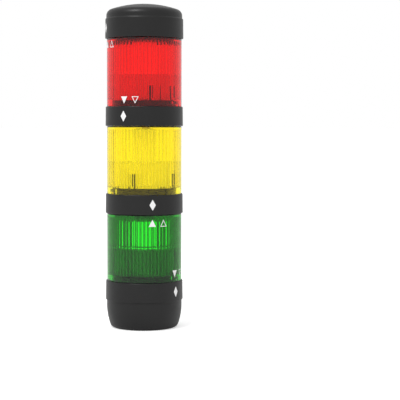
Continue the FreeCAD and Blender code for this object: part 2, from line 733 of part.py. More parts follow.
def led_boards():
    """Four narrow boards on the faces of the column."""
    y = -(COLUMN_WIDTH + LED_BOARD_THICKNESS) / 2
    board = block(LED_BOARD_WIDTH, LED_BOARD_THICKNESS, LED_BOARD_LOW,
                  LED_BOARD_LOW + LED_BOARD_LENGTH, 0, y)
    return group(around(board, 4))


def leds():
    """A row of chips up each board."""
    y = -(COLUMN_WIDTH + LED_THICKNESS) / 2 - LED_BOARD_THICKNESS
    pitch = LED_BOARD_LENGTH / LED_ROWS
    chips = []
    for row in range(LED_ROWS):
        middle = LED_BOARD_LOW + pitch * (row + 0.5)
        chip = block(LED_WIDTH, LED_THICKNESS, middle - LED_HEIGHT / 2, middle + LED_HEIGHT / 2, 0, y)
        chips += around(chip, 4)
    return group(chips)


def diffuser():
    """Frosted sleeve over the boards, standing on its rim on the pedestal."""
    inner = DIFFUSER_RADIUS - DIFFUSER_WALL
    return turned_outline([
        (inner, PEDESTAL_TOP),
        (DIFFUSER_RIM_DIAMETER / 2, PEDESTAL_TOP),
        (DIFFUSER_RIM_DIAMETER / 2, PEDESTAL_TOP + DIFFUSER_RIM_HEIGHT),
        (DIFFUSER_RADIUS, PEDESTAL_TOP + DIFFUSER_RIM_HEIGHT),
        (DIFFUSER_RADIUS, DIFFUSER_TOP),
        (inner, DIFFUSER_TOP),
    ])


def contact_insulator():
    """Notched disc under the ring's floor that guides the spring contacts."""
    low = SOCKET_DEPTH - INSULATOR_HEIGHT
    body = disc(INSULATOR_DIAMETER / 2, low, SOCKET_DEPTH)
    body = body.cut(front_disc(INSULATOR_NOTCH, low - OVERCUT, SOCKET_DEPTH + OVERCUT,
                               INSULATOR_DIAMETER / 2))

    def hole(circle):
        return front_disc(BARREL_RADIUS + FIT_CLEARANCE, low - OVERCUT, SOCKET_DEPTH + OVERCUT, circle)

    return body.cut(contact_set(hole, -LEVEL_TURN))


def spring_contacts():
    """Barrels from the control board down, with plungers that end over the pads below."""
    barrel_low = SOCKET_DEPTH - INSULATOR_HEIGHT
    plunger_low = COLUMN_TOP + PAD_THICKNESS - LENS_LENGTH + PLUNGER_GAP

    def contact(circle):
        barrel = front_disc(BARREL_RADIUS, barrel_low, RING_HEIGHT, circle)
        tip = Part.makeSphere(PLUNGER_RADIUS, Vector(0, -circle, plunger_low + PLUNGER_RADIUS))
        rod = front_disc(PLUNGER_RADIUS, plunger_low + PLUNGER_RADIUS, barrel_low, circle)
        return barrel.fuse([rod, tip]).removeSplitter()

    return group(contact_set(contact, -LEVEL_TURN))


def top_cap():
    """Skirt and stepped dome in one hollow moulding, with its mark in front."""
    skirt = CAP_RADIUS
    skirt_top = skirt - MOULDING_DRAFT
    crown = CAP_CROWN_RADIUS
    crown_low = CAP_SKIRT_HEIGHT + CAP_CROWN_STRAIGHT
    apex = CAP_SKIRT_HEIGHT + CAP_CROWN_HEIGHT
    inner = SOCKET_RADIUS - CAP_STOP_WIDTH
    inner_apex = apex - CAP_WALL
    body = turned_solid([
        line((0, FACE_GAP), (skirt - EDGE_CHAMFER, FACE_GAP)),
        line((skirt - EDGE_CHAMFER, FACE_GAP), (skirt, FACE_GAP + EDGE_CHAMFER)),
        line((skirt, FACE_GAP + EDGE_CHAMFER), (skirt_top, CAP_SKIRT_HEIGHT - CAP_STEP_CHAMFER)),
        line((skirt_top, CAP_SKIRT_HEIGHT - CAP_STEP_CHAMFER), (crown, CAP_SKIRT_HEIGHT)),
        line((crown, CAP_SKIRT_HEIGHT), (crown, crown_low)),
        *cornered_dome(crown, crown_low, apex, CAP_CROWN_CORNER),
        line((0, apex), (0, FACE_GAP)),
    ])
    wall_z = CAP_SKIRT_HEIGHT + CAP_WALL
    body = body.cut(turned_solid([
        line((0, -OVERCUT), (SOCKET_RADIUS, -OVERCUT)),
        line((SOCKET_RADIUS, -OVERCUT), (SOCKET_RADIUS, SOCKET_DEPTH)),
        line((SOCKET_RADIUS, SOCKET_DEPTH), (inner, SOCKET_DEPTH)),
        line((inner, SOCKET_DEPTH), (inner, wall_z)),
        dome(inner, wall_z, inner_apex),
        line((0, inner_apex), (0, -OVERCUT)),
    ]))
    rib = block(CAP_RIB_WIDTH, CAP_RIB_REACH + OVERCUT, SOCKET_DEPTH + OVERCUT,
                SOCKET_DEPTH + OVERCUT + CAP_RIB_HEIGHT, 0, -inner + CAP_RIB_REACH / 2)
    body = body.fuse(around(rib, CAP_RIB_COUNT, 180 / CAP_RIB_COUNT))
    return body.cut(lug_tracks(-UNLOCK_TURN)).removeSplitter()


def save(name, shape):
    """Write one sub-part, after a test that its solids are sound."""
    if not shape.isValid() or not shape.Solids:
        raise ValueError("unsound shape: " + name)
    shape.exportStep(os.path.join("parts", name + ".step"))


def save_light_unit(colour, plane, mark_angle):
    """The pieces that every light unit holds, on the plane of its lens."""
    pieces = {
        "control_board": control_board(),
        "led_carrier": led_carrier(),
        "carrier_screws": carrier_screws(),
        "led_boards": led_boards(),
        "leds": leds(),
        "diffuser": diffuser(),
        "conductor_strips": conductor_strips(),
        "lens_seal": seal(0),
    }
    for name, shape in pieces.items():
        save(colour + "_" + name, placed(shape, plane, mark_angle))


def save_module_ring(colour, plane, mark_angle):
    """The ring below a lens, with its contacts, on the neck of the lens below."""
    save(colour + "_module_ring", placed(module_ring(), plane, mark_angle))
    save(colour + "_contact_insulator", placed(contact_insulator(), plane, mark_angle))
    save(colour + "_spring_contacts", placed(spring_contacts(), plane, mark_angle))
    save(colour + "_ring_seal", placed(seal(0), plane))


def main():
    os.makedirs("parts", exist_ok=True)
    save("base_housing", base_housing())
    save("base_collar", placed(base_collar(), COLLAR_PLANE, BASE_MARK_ANGLE))
    save("collar_screws", collar_screws())
    save("base_gasket", base_gasket())
    save("cable_grommet", cable_grommet())
    save("terminal_block", terminal_block())
    save("terminal_clamps", terminal_clamps())
    save("terminal_screws", terminal_screws())
    save("base_contact_pins", base_contact_pins())

    save_light_unit("green", GREEN_PLANE, BASE_MARK_ANGLE)
    save("green_lens", placed(lens(BASE_MARK_ANGLE, YELLOW_MARK_ANGLE), GREEN_PLANE))

    save_module_ring("yellow", YELLOW_RING_PLANE, YELLOW_MARK_ANGLE)
    save_light_unit("yellow", YELLOW_PLANE, YELLOW_MARK_ANGLE)
    save("yellow_lens", placed(lens(YELLOW_MARK_ANGLE, RED_MARK_ANGLE), YELLOW_PLANE))

    save_module_ring("red", RED_RING_PLANE, RED_MARK_ANGLE)
    save_light_unit("red", RED_PLANE, RED_MARK_ANGLE)
    save("red_lens", placed(lens(RED_MARK_ANGLE, CAP_MARK_ANGLE), RED_PLANE))

    save("cap_seal", placed(seal(0), CAP_PLANE))
    save("top_cap", placed(top_cap(), CAP_PLANE, CAP_MARK_ANGLE))


main()
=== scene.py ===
"""Looks of a modular signal tower: black moulded base, rings and cap, and three ribbed lenses.

Lengths are in millimetres until a mesh is finished, then in metres. Front is at -Y, +Z is up.
Front angles are in degrees, counted from -Y towards +X.
"""
import json
import math

import bmesh
import bpy
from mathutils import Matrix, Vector


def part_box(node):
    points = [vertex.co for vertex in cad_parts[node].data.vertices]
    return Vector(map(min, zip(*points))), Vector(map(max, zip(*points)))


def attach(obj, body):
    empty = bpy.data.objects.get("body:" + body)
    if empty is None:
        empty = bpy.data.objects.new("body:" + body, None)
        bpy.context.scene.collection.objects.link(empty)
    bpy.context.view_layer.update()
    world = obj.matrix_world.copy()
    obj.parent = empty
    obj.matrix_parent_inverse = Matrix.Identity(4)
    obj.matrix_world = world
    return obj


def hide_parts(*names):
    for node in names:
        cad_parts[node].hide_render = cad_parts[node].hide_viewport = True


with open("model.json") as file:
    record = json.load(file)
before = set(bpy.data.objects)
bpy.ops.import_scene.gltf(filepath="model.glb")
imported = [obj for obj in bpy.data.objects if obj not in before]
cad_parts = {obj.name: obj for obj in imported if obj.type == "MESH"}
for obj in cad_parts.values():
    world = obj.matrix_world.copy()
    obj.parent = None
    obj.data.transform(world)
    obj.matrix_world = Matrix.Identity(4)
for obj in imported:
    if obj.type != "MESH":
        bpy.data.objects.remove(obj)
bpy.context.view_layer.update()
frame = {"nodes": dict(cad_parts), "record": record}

MM = 0.001
TURN = 2 * math.pi
TOLERANCE = 0.02
MERGE_DISTANCE = TOLERANCE / 10
SHARP_ANGLE = 35

# Sizes read from the frame, in millimetres
LENS_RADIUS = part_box("green_lens")[1][0] / MM
RING_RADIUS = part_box("yellow_module_ring")[1][0] / MM
GREEN_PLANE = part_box("green_control_board")[0][2] / MM
YELLOW_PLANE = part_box("yellow_control_board")[0][2] / MM
RED_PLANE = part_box("red_control_board")[0][2] / MM
CAP_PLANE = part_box("cap_seal")[1][2] / MM
CAP_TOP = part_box("top_cap")[1][2] / MM
CAP_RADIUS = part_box("top_cap")[1][0] / MM
COLLAR_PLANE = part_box("base_collar")[0][2] / MM
PEDESTAL_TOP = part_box("green_diffuser")[0][2] / MM - GREEN_PLANE
DIFFUSER_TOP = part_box("green_diffuser")[1][2] / MM - GREEN_PLANE

# Sizes shared by the mouldings. STEP is the rise from a flat side to a lug or a groove.
RING_HEIGHT = GREEN_PLANE - COLLAR_PLANE
LENS_LENGTH = YELLOW_PLANE - GREEN_PLANE - RING_HEIGHT
DRAFT = 0.15
SOCKET_RADIUS = 21.88
SPIGOT_RADIUS = 21.8
CAVITY_RADIUS = 20.0
NECK_BORE_RADIUS = 20.3
COLLAR_BORE_RADIUS = 22.98
SPIGOT_HEIGHT = 4.0
NECK_HEIGHT = 5.4
SOCKET_DEPTH = 6.0
FLOOR_TOP = 8.0
FACE_GAP = 0.1
LUG_RADIUS = 23.0
TRACK_RADIUS = 23.15
LUG_LOW = 1.6
LUG_HIGH = 3.4
LUG_SLACK = 0.15
STEP = 0.05
LUG_ARCS = ((0, 14), (90, 10), (180, 10), (270, 10))
LUG_ARC_SLACK = 2.0
UNLOCK_TURN = 18.0
MOULDING_STEPS = 360

# Rounded edges
EDGE_ROUND = 0.4
LENS_EDGE_ROUND = 0.3
FOOT_EDGE_ROUND = 0.12
RING_EDGE_ROUND = 0.6
ROUND_SEGMENTS = 3
LENS_ROUNDS = ((1, FOOT_EDGE_ROUND), (2, LENS_EDGE_ROUND), (8, EDGE_ROUND))
RING_ROUNDS = ((1, EDGE_ROUND), (2, RING_EDGE_ROUND), (8, EDGE_ROUND))
CAP_ROUNDS = ((1, EDGE_ROUND), (2, EDGE_ROUND), (3, EDGE_ROUND / 2))
SLEEVE_ROUNDS = ((1, EDGE_ROUND / 2), (2, EDGE_ROUND / 2), (4, EDGE_ROUND / 2))

# Extra points on long sides of an outline, except beside the axis
HOLD = 0.8
LONG_SIDE = 4 * HOLD
AXIS_ZONE = 1.0

# Lens ribs
RIB_COUNT = 60
POINTS_PER_RIB = 16
RIB_VALLEY_RADIUS = LENS_RADIUS - 1.4
RIB_DEPTH = 0.6
RIB_SHARE = 0.45
RIB_RUNOUT = 1.3
LENS_FOOT = 4.3
LENS_SHOULDER = 2.2

# Latch fingers on a ring's spigot: front angles and widths
FINGER_HEIGHT = 9.7
FINGERS = {
    "yellow": ((-28, 2), (-18, 2), (62, 2), (152, 2), (162, 2)),
    "red": ((10.5, 3), (29, 2), (58, 2), (-169.5, 3), (-151, 2)),
}

# Cap
SKIRT_HEIGHT = 13.7
SKIRT_CHAMFER = 0.6
CROWN_INSET = 0.8
CROWN_STRAIGHT = 1.7
CROWN_CORNER = 4.5
CAP_WALL = 2.6
CAP_INNER_RADIUS = SOCKET_RADIUS - 1.1
CAP_RIB_COUNT = 8
CAP_RIB_ARC = 3.6
CAP_RIB_REACH = 2.2
CAP_RIB_LOW = 7.0
CAP_RIB_HIGH = 13.0
INNER_SKIRT_RADIUS = 20.2
INNER_SKIRT_WALL = 1.2
INNER_SKIRT_REACH = 3.0
INNER_SKIRT_LEDGE = 5.6
INNER_SKIRT_TOP = 6.6
CORNER_POINTS = 10
DOME_POINTS = 16

# Diffuser, and where its bright fields begin and are full, from the axis
DIFFUSER_RADIUS = 7.8
DIFFUSER_WALL = 0.8
RIM_RADIUS = 8.6
RIM_HEIGHT = 0.8
RIM_GROOVE = 0.8
FIELD_EDGE = 6.1
FIELD_FULL = 6.6
SLEEVE_TOPS = {"green": DIFFUSER_TOP, "yellow": DIFFUSER_TOP + 3.6, "red": DIFFUSER_TOP + 3.0}

# Front angles of the marks. The print is slightly out of line with two of them.
BASE_MARK = 58.0
LEVEL_TURN = -45.0
YELLOW_MARK = BASE_MARK + LEVEL_TURN
RED_MARK = YELLOW_MARK + LEVEL_TURN
CAP_MARK = RED_MARK + LEVEL_TURN
BASE_PRINT = BASE_MARK - 4.2
YELLOW_PRINT = YELLOW_MARK - 0.8

# Printed marks
PRINT_THICKNESS = 0.03
DIAMOND_WIDTH = 4.3
DIAMOND_HEIGHT = 7.2
TRIANGLE_WIDTH = 4.8
TRIANGLE_HEIGHT = 4.7
TRIANGLE_MARGIN = 1.7
DEEP_MARGIN = 3.1
TRIANGLE_LINE = 0.42
PRINT_STRIPS = 8


# Shaping

def spun(outline, steps, rounded=()):
    """A full turn of a closed outline of radius and height. rounded pairs corners with radii.

    Points near the ends of each long side keep it flat when it is shaded.
    """
    bm = bmesh.new()
    corners = [bm.verts.new((radius, 0, height)) for radius, height in outline]
    verts = []
    for corner, following in zip(corners, corners[1:] + corners[:1]):
        verts.append(corner)
        side = following.co - corner.co
        if side.length > LONG_SIDE and max(corner.co.x, following.co.x) > AXIS_ZONE:
            for share in (HOLD / side.length, 1 - HOLD / side.length):
                verts.append(bm.verts.new(corner.co + side * share))
    bm.faces.new(verts)
    for number, radius in rounded:
        bmesh.ops.bevel(bm, geom=[corners[number]], offset=radius, offset_type="OFFSET",
                        affect="VERTICES", segments=ROUND_SEGMENTS, profile=0.5, material=-1)
    bmesh.ops.delete(bm, geom=bm.faces[:], context="FACES_ONLY")
    bmesh.ops.spin(bm, geom=bm.verts[:] + bm.edges[:], cent=(0, 0, 0), axis=(0, 0, 1),
                   angle=TURN, steps=steps, use_merge=True)
    bmesh.ops.remove_doubles(bm, verts=bm.verts[:], dist=MERGE_DISTANCE)
    on_axis = [edge for edge in bm.edges if not edge.link_faces]
    bmesh.ops.delete(bm, geom=on_axis, context="EDGES")
    bmesh.ops.recalc_face_normals(bm, faces=bm.faces[:])
    return bm


def arc_points(centre, radius, first, last, count):
    """Points on a circle in an outline, from one angle to another, in radians."""
    points = []
    for i in range(count + 1):
        angle = first + (last - first) * i / count
        points.append((centre[0] + radius * math.cos(angle), centre[1] + radius * math.sin(angle)))
    return points


def front_angle(point):
    """Degrees from the front towards +X."""
    return math.degrees(math.atan2(point.x, -point.y))


def apart(angle, other):
    """Smallest turn between two angles."""
    return abs((angle - other + 180) % 360 - 180)


def push(bm, radius, new_radius, low, high, angle, width):
    """Move the points of one radius to another, over a band of heights and an arc."""
    for vert in bm.verts:
        here = math.hypot(vert.co.x, vert.co.y)
        if abs(here - radius) > TOLERANCE or apart(front_angle(vert.co), angle) > width / 2:
            continue
        if low - TOLERANCE <= vert.co.z <= high + TOLERANCE:
            vert.co.x *= new_radius / here
            vert.co.y *= new_radius / here


def lug_side(plane):
    """The side of a spigot or neck in an outline, upwards, with the points that lugs need."""
    return [
        (SPIGOT_RADIUS, plane),
        (SPIGOT_RADIUS, plane + LUG_LOW - STEP),
        (SPIGOT_RADIUS, plane + LUG_LOW),
        (SPIGOT_RADIUS, plane + LUG_HIGH),
        (SPIGOT_RADIUS, plane + LUG_HIGH + STEP),
    ]


def add_lugs(bm, plane, mark):
    """Bayonet lugs on a spigot or neck that stands on the plane."""
    for angle, width in LUG_ARCS:
        push(bm, SPIGOT_RADIUS, LUG_RADIUS, plane + LUG_LOW, plane + LUG_HIGH, mark + angle, width)


def track_heights(plane):
    """Lower and upper side of the grooves in a socket."""
    return plane + LUG_LOW - LUG_SLACK, plane + LUG_HIGH + LUG_SLACK


def track_side(plane):
    """The side of a socket in an outline, downwards, with the points that grooves need."""
    low, high = track_heights(plane)
    return [
        (SOCKET_RADIUS, high + STEP),
        (SOCKET_RADIUS, high),
        (SOCKET_RADIUS, low),
        (SOCKET_RADIUS, low - STEP),
    ]


def cut_tracks(bm, plane, mark, entry_turn):
    """Grooves in a socket for the lugs, open below at the entry turn."""
    low, high = track_heights(plane)
    for angle, width in LUG_ARCS:
        entry = mark + angle + entry_turn
        middle = mark + angle + entry_turn / 2
        width += LUG_ARC_SLACK
        push(bm, SOCKET_RADIUS, TRACK_RADIUS, low, high, middle, width + abs(entry_turn))
        push(bm, SOCKET_RADIUS, TRACK_RADIUS, plane, low, entry, width)


def finished(bm, name, body, material, replaced=()):
    """Turn a mesh in millimetres into a smooth piece that rides on a body."""
    bmesh.ops.scale(bm, vec=(MM, MM, MM), verts=bm.verts[:])
    mesh = bpy.data.meshes.new(name)
    bm.to_mesh(mesh)
    bm.free()
    mesh.shade_smooth()
    mesh.set_sharp_from_angle(angle=math.radians(SHARP_ANGLE))
    mesh.materials.append(material)
    piece = bpy.data.objects.new(name, mesh)
    bpy.context.scene.collection.objects.link(piece)
    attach(piece, body)
    if replaced:
        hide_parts(*replaced)
    return piece


# Materials. Scales are of the noise on object coordinates, and depths of bumps are in metres.

TONE_SCALE = 60.0
GLOSS_SCALE = 180.0
GRAIN_SCALE = 4200.0
GRAIN_DETAIL = 2.0
GRAIN_DEPTH = 0.00004
LENS_IOR = 1.45
LENS_GLOSS_SCALE = 120.0
WAVE_SCALE = 90.0
WAVE_DETAIL = 1.0
WAVE_STRENGTH = 0.15
WAVE_DEPTH = 0.0002
FROST_ROUGHNESS = 0.45
FROST_SCALE = 1500.0
FROST_STRENGTH = 0.2
FROST_DEPTH = 0.00005
METAL_SCALE = 900.0


def new_material(name):
    """A material, its node tree and its shader."""
    material = bpy.data.materials.new(name)
    material.use_nodes = True
    return material, material.node_tree, material.node_tree.nodes["Principled BSDF"]


def noise(tree, scale, detail=3.0):
    """Noise on the object's own coordinates."""
    place = tree.nodes.new("ShaderNodeTexCoord")
    texture = tree.nodes.new("ShaderNodeTexNoise")
    texture.inputs["Scale"].default_value = scale
    texture.inputs["Detail"].default_value = detail
    tree.links.new(place.outputs["Object"], texture.inputs["Vector"])
    return texture.outputs["Fac"]


def remap(tree, value, low, high):
    """Spread a value of zero to one over another range."""
    node = tree.nodes.new("ShaderNodeMapRange")
    node.inputs["To Min"].default_value = low
    node.inputs["To Max"].default_value = high
    tree.links.new(value, node.inputs["Value"])
    return node.outputs["Result"]


def mixed(tree, value, low, high):
    """A colour between two, by a value of zero to one."""
    node = tree.nodes.new("ShaderNodeMix")
    node.data_type = "RGBA"
    tree.links.new(value, node.inputs["Factor"])
    node.inputs["A"].default_value = (*low, 1)
    node.inputs["B"].default_value = (*high, 1)
    return node.outputs["Result"]


def larger_of(tree, first, second):
    """The larger of two values."""
    node = tree.nodes.new("ShaderNodeMath")
    node.operation = "MAXIMUM"
    tree.links.new(first, node.inputs[0])
    tree.links.new(second, node.inputs[1])
    return node.outputs["Value"]


def bumped(tree, shader, height, strength, depth):
    """Give a shader a fine relief."""
    node = tree.nodes.new("ShaderNodeBump")
    node.inputs["Strength"].default_value = strength
    node.inputs["Distance"].default_value = depth
    tree.links.new(height, node.inputs["Height"])
    tree.links.new(node.outputs["Normal"], shader.inputs["Normal"])


def moulded(name, dark, light, roughness, grain=GRAIN_SCALE, bump=0.25, gloss_level=0.5):
    """Moulded plastic or rubber: fine spark texture, with slow changes of tone and gloss."""
    material, tree, shader = new_material(name)
    shader.inputs["Specular IOR Level"].default_value = gloss_level
    tree.links.new(mixed(tree, noise(tree, TONE_SCALE), dark, light), shader.inputs["Base Color"])
    tree.links.new(remap(tree, noise(tree, GLOSS_SCALE), *roughness), shader.inputs["Roughness"])
    bumped(tree, shader, noise(tree, grain, GRAIN_DETAIL), bump, GRAIN_DEPTH)
    return material


def lens_plastic(name, colour, roughness):
    """Clear tinted plastic with slight waves of the mould in it."""
    material, tree, shader = new_material(name)
    shader.inputs["Base Color"].default_value = (*colour, 1)
    shader.inputs["Transmission Weight"].default_value = 1.0
    shader.inputs["IOR"].default_value = LENS_IOR
    gloss = remap(tree, noise(tree, LENS_GLOSS_SCALE), roughness, roughness * 2)
    tree.links.new(gloss, shader.inputs["Roughness"])
    bumped(tree, shader, noise(tree, WAVE_SCALE, WAVE_DETAIL), WAVE_STRENGTH, WAVE_DEPTH)
    return material


def lamp_fields(tree):
    """One in front of the four rows of lamps in a sleeve, and zero between them."""
    place = tree.nodes.new("ShaderNodeTexCoord")
    parts = tree.nodes.new("ShaderNodeSeparateXYZ")
    tree.links.new(place.outputs["Object"], parts.inputs["Vector"])
    sizes = []
    for axis in ("X", "Y"):
        size = tree.nodes.new("ShaderNodeMath")
        size.operation = "ABSOLUTE"
        tree.links.new(parts.outputs[axis], size.inputs[0])
        sizes.append(size.outputs["Value"])
    spread = tree.nodes.new("ShaderNodeMapRange")
    spread.inputs["From Min"].default_value = FIELD_EDGE * MM
    spread.inputs["From Max"].default_value = FIELD_FULL * MM
    tree.links.new(larger_of(tree, *sizes), spread.inputs["Value"])
    return spread.outputs["Result"]


def lamp_and_painted_glow(name, colour, glow, strength, dim=1.0):
    """Frosted plastic that glows, dimmer away from the lamps. In the green light the glow comes
    from its lit lamps; on the yellow and red parts it is painted light.
    """
    material, tree, shader = new_material(name)
    shader.inputs["Base Color"].default_value = (*colour, 1)
    shader.inputs["Roughness"].default_value = FROST_ROUGHNESS
    shader.inputs["Emission Color"].default_value = (*glow, 1)
    shader.inputs["Emission Strength"].default_value = strength
    if dim < 1.0:
        power = remap(tree, lamp_fields(tree), strength * dim, strength)
        tree.links.new(power, shader.inputs["Emission Strength"])
    bumped(tree, shader, noise(tree, FROST_SCALE), FROST_STRENGTH, FROST_DEPTH)
    return material


def metal(name, colour, roughness):
    """Bare metal with slow changes of gloss."""
    material, tree, shader = new_material(name)
    shader.inputs["Base Color"].default_value = (*colour, 1)
    shader.inputs["Metallic"].default_value = 1.0
    gloss = remap(tree, noise(tree, METAL_SCALE), roughness * 0.7, roughness * 1.3)
    tree.links.new(gloss, shader.inputs["Roughness"])
    return material


BLACK_PLASTIC = moulded("black_plastic", (0.006, 0.006, 0.006), (0.010, 0.010, 0.010),
                        roughness=(0.34, 0.44), gloss_level=0.38)
WHITE_PLASTIC = moulded("white_plastic", (0.72, 0.72, 0.70), (0.80, 0.80, 0.78),
                        roughness=(0.4, 0.5))
GREY_PLASTIC = moulded("grey_plastic", (0.20, 0.21, 0.22), (0.26, 0.27, 0.29),
                       roughness=(0.4, 0.5))
CIRCUIT_BOARD = moulded("circuit_board", (0.01, 0.12, 0.04), (0.02, 0.18, 0.07),
                        roughness=(0.25, 0.4), grain=900.0, bump=0.3)
RUBBER = moulded("rubber", (0.012, 0.012, 0.012), (0.02, 0.02, 0.02), roughness=(0.6, 0.75))
PRINT_WHITE = moulded("print_white", (0.86, 0.86, 0.86), (0.92, 0.92, 0.92),
                      roughness=(0.4, 0.5), grain=2500.0, bump=0.1)
COPPER = metal("copper", (0.72, 0.42, 0.25), roughness=0.3)
STEEL = metal("steel", (0.55, 0.55, 0.56), roughness=0.35)

LENS_PLASTICS = {
    "green": lens_plastic("green_lens", (0.006, 0.335, 0.008), roughness=0.02),
    "yellow": lens_plastic("yellow_lens", (1.0, 0.87, 0.014), roughness=0.03),
    "red": lens_plastic("red_lens", (0.95, 0.003, 0.003), roughness=0.03),
}
# The green sleeve glows with its lit lamps. The yellow and red sleeves glow with painted light,
# brighter in front of the lamp rows, in place of the light that reaches their insides through the
# lens.
DIFFUSERS = {
    "green": lamp_and_painted_glow("green_diffuser", (0.8, 0.85, 0.8), (0.6, 1.0, 0.6), 2.5, dim=0.08),
    "yellow": lamp_and_painted_glow("yellow_diffuser", (0.85, 0.85, 0.8), (1.0, 0.95, 0.7), 0.34, dim=0.8),
    "red": lamp_and_painted_glow("red_diffuser", (0.85, 0.8, 0.8), (1.0, 0.7, 0.6), 0.6, dim=0.65),
}
# Painted light: the yellow and red carriers glow so that they look lit, though they are no lamps.
# The green carrier is plain white plastic lit by its sleeve.
CARRIERS = {
    "green": WHITE_PLASTIC,
    "yellow": lamp_and_painted_glow("yellow_carrier_painted_glow", (0.8, 0.8, 0.76), (1.0, 0.95, 0.7), 0.27),
    "red": lamp_and_painted_glow("red_carrier_painted_glow", (0.8, 0.78, 0.78), (1.0, 0.7, 0.6), 0.16),
}
# All three lights share this chip glow. Only the green light is lit, so in the yellow and red
# lights it is painted light.
LED_CHIP = lamp_and_painted_glow("led_chip", (0.85, 0.75, 0.35), (1.0, 0.9, 0.5), 0.5)


# Pieces

def make_lens(colour, plane, body, foot_mark, neck_mark):
    """One lens: smooth outside, convex ribs inside, a foot with lug tracks and a lugged neck."""
    top = plane + LENS_LENGTH
    rib_low = plane + LENS_FOOT
    rib_high = top - LENS_SHOULDER
    outline = [
        (SOCKET_RADIUS, plane + FACE_GAP),
        (LENS_RADIUS, plane + FACE_GAP),
        (LENS_RADIUS, top),
    ]
    outline += lug_side(top)
    outline += [
        (SPIGOT_RADIUS, top + NECK_HEIGHT),
        (NECK_BORE_RADIUS, top + NECK_HEIGHT),
        (NECK_BORE_RADIUS, rib_high),
        (RIB_VALLEY_RADIUS, rib_high),
        (RIB_VALLEY_RADIUS, rib_low + RIB_RUNOUT),
        (RIB_VALLEY_RADIUS, rib_low),
        (SOCKET_RADIUS, rib_low),
    ]
    outline += track_side(plane)
    bm = spun(outline, RIB_COUNT * POINTS_PER_RIB, LENS_ROUNDS)
    for vert in bm.verts:
        here = math.hypot(vert.co.x, vert.co.y)
        if abs(here - RIB_VALLEY_RADIUS) < TOLERANCE and vert.co.z > rib_low + TOLERANCE:
            share = (front_angle(vert.co) * RIB_COUNT / 360 + 0.5) % 1.0 - 0.5
            across = min(1.0, abs(share) * 2 / RIB_SHARE)
            radius = RIB_VALLEY_RADIUS - RIB_DEPTH * math.cos(across * math.pi / 2)
            vert.co.x *= radius / here
            vert.co.y *= radius / here
    add_lugs(bm, top, neck_mark)
    cut_tracks(bm, plane, foot_mark, UNLOCK_TURN)
    name = colour + "_lens"
    finished(bm, name + "_clear", body, LENS_PLASTICS[colour], (name,))


def seat_outline(plane):
    """The part of a ring's outline above its floor: outside, spigot and cavity."""
    top = plane + RING_HEIGHT
    outline = [(RING_RADIUS - DRAFT, top)]
    outline += lug_side(top)
    outline += [
        (SPIGOT_RADIUS, top + SPIGOT_HEIGHT),
        (CAVITY_RADIUS, top + SPIGOT_HEIGHT),
        (CAVITY_RADIUS, plane + FLOOR_TOP),
        (0, plane + FLOOR_TOP),
        (0, plane + SOCKET_DEPTH),
    ]
    return outline


def add_fingers(bm, spigot_top, fingers):
    """Raise latch fingers from the flat top of a spigot."""
    for angle, width in fingers:
        faces = []
        for face in bm.faces:
            middle = face.calc_center_median()
            flat = all(abs(vert.co.z - spigot_top) < TOLERANCE for vert in face.verts)
            if flat and apart(front_angle(middle), angle) < width / 2:
                faces.append(face)
        raised = bmesh.ops.extrude_face_region(bm, geom=faces)["geom"]
        tips = [item for item in raised if isinstance(item, bmesh.types.BMVert)]
        bmesh.ops.translate(bm, vec=(0, 0, FINGER_HEIGHT), verts=tips)
        bmesh.ops.delete(bm, geom=faces, context="FACES")


def make_ring(colour, plane, body, mark):
    """The black ring between two lenses."""
    outline = [(SOCKET_RADIUS, plane + FACE_GAP), (RING_RADIUS, plane + FACE_GAP)]
    outline += seat_outline(plane)
    outline.append((SOCKET_RADIUS, plane + SOCKET_DEPTH))
    outline += track_side(plane)
    bm = spun(outline, MOULDING_STEPS, RING_ROUNDS)
    add_lugs(bm, plane + RING_HEIGHT, mark)
    cut_tracks(bm, plane, mark, -UNLOCK_TURN)
    add_fingers(bm, plane + RING_HEIGHT + SPIGOT_HEIGHT, FINGERS[colour])
    name = colour + "_module_ring"
    finished(bm, name + "_moulding", body, BLACK_PLASTIC, (name,))


def make_collar():
    """The fixed collar on the base."""
    outline = [(COLLAR_BORE_RADIUS, COLLAR_PLANE), (RING_RADIUS, COLLAR_PLANE)]
    outline += seat_outline(COLLAR_PLANE)
    outline.append((COLLAR_BORE_RADIUS, COLLAR_PLANE + SOCKET_DEPTH))
    bm = spun(outline, MOULDING_STEPS, RING_ROUNDS)
    add_lugs(bm, COLLAR_PLANE + RING_HEIGHT, BASE_MARK)
    finished(bm, "base_collar_moulding", "base", BLACK_PLASTIC, ("base_collar",))


def crown_outline(skirt_top):
    """Over the cap from the skirt's top to the axis: inset crown, rounded corner and dome."""
    crown = CAP_RADIUS - CROWN_INSET
    low = skirt_top + CROWN_STRAIGHT
    reach = crown - CROWN_CORNER
    rise = CAP_TOP - low
    dome = (reach ** 2 + rise ** 2 - CROWN_CORNER ** 2) / (2 * (rise - CROWN_CORNER))
    joint = math.atan2(dome - rise, reach)
    outline = [(CAP_RADIUS - DRAFT, skirt_top - SKIRT_CHAMFER), (crown, skirt_top)]
    outline += arc_points((reach, low), CROWN_CORNER, 0, joint, CORNER_POINTS)
    outline += arc_points((0, CAP_TOP - dome), dome, joint, math.pi / 2, DOME_POINTS)[1:]
    return outline


def hollow_outline(skirt_top):
    """Under the cap's dome, from the axis to the inner wall."""
    rise = CAP_TOP - CAP_WALL - (skirt_top + CAP_WALL)
    dome = (CAP_INNER_RADIUS ** 2 + rise ** 2) / (2 * rise)
    joint = math.acos(CAP_INNER_RADIUS / dome)
    return arc_points((0, CAP_TOP - CAP_WALL - dome), dome, math.pi / 2, joint, DOME_POINTS)


